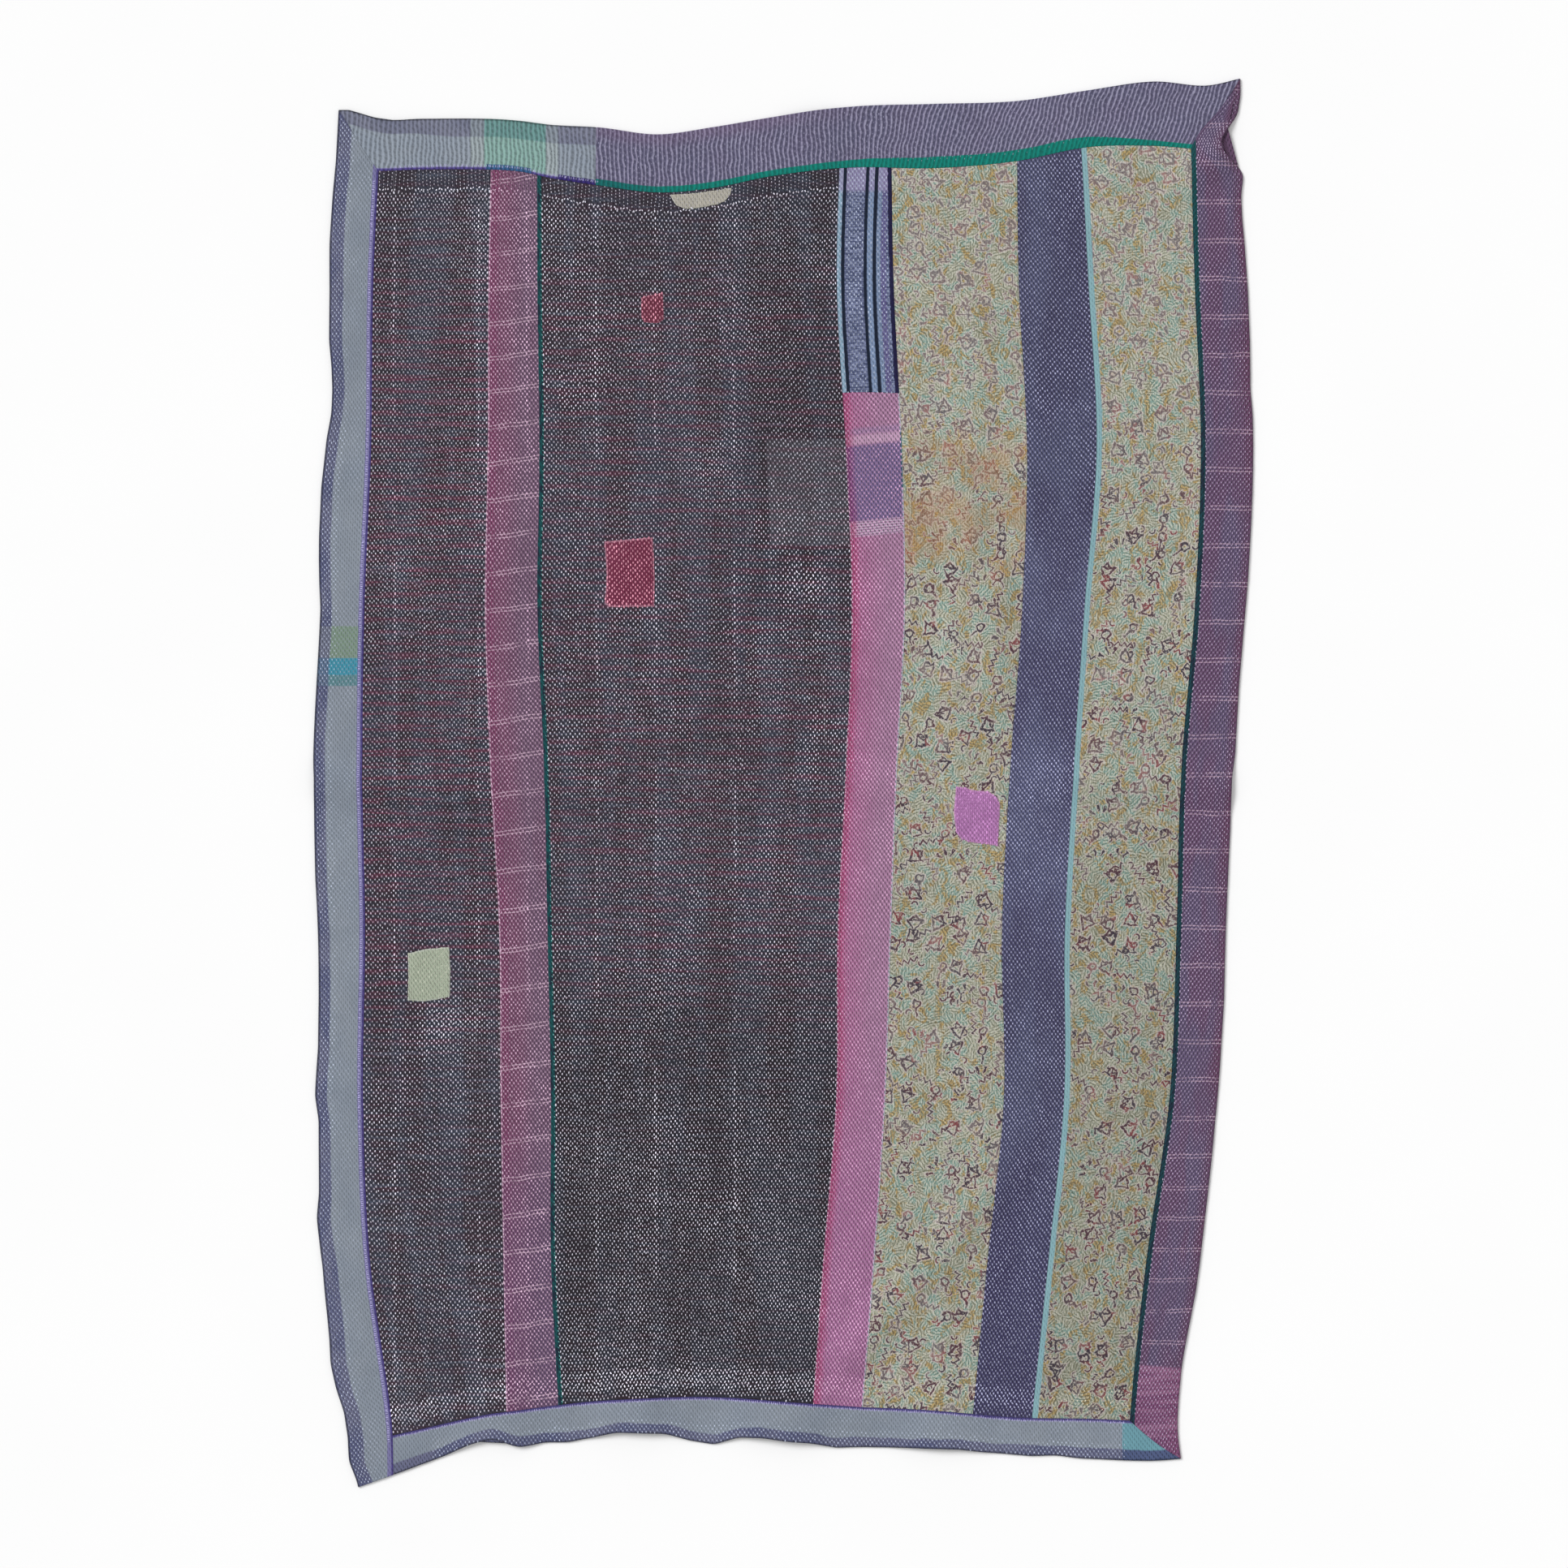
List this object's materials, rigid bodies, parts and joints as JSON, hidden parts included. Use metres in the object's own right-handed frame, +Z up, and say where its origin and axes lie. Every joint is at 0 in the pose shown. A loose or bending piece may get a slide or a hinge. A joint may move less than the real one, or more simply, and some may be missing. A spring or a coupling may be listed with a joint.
{
  "type": "kantha quilt",
  "caption": "Patchwork quilt of old sari cloth with dense running stitch, contrasting borders and small patches, lying open and face up.",
  "frame": {"origin": "the point of the floor under the middle of the quilt's box", "axes": "+Z up through the cloth, +Y along the length towards the lavender and teal top hem, +X across to the plum border"},
  "size_m": [1.391, 2.0817, 0.013],
  "materials": {
    "sari_charcoal": "matte cotton",
    "sari_plum": "matte cotton",
    "sari_blue_striped": "matte cotton",
    "sari_rose": "matte cotton",
    "sari_print": "matte cotton",
    "sari_indigo": "matte cotton",
    "sari_pale_blue": "matte cotton",
    "sari_lavender": "matte cotton",
    "cloth_layers": "matte cotton",
    "patch_red": "matte cotton",
    "patch_cream": "matte cotton",
    "patch_orchid": "matte cotton",
    "patch_scrap": "matte cotton",
    "thread": "matte cotton"
  },
  "bodies": {
    "root": {"quilt_body": "cloth_layers", "panel_dark_left": "sari_charcoal", "strip_plum": "sari_plum", "panel_dark_wide": "sari_charcoal", "strip_blue_striped": "sari_blue_striped", "strip_rose": "sari_rose", "panel_print_wide": "sari_print", "strip_indigo": "sari_indigo", "panel_print_narrow": "sari_print", "border_left": "sari_pale_blue", "border_bottom": "sari_pale_blue", "border_top_left": "sari_pale_blue", "border_top_right": "sari_lavender", "border_right": "sari_plum", "patch_red_small": "patch_red", "patch_red_large": "patch_red", "patch_cream": "patch_cream", "patch_orchid": "patch_orchid", "patch_cream_top": "patch_scrap"}
  },
  "joints": []
}
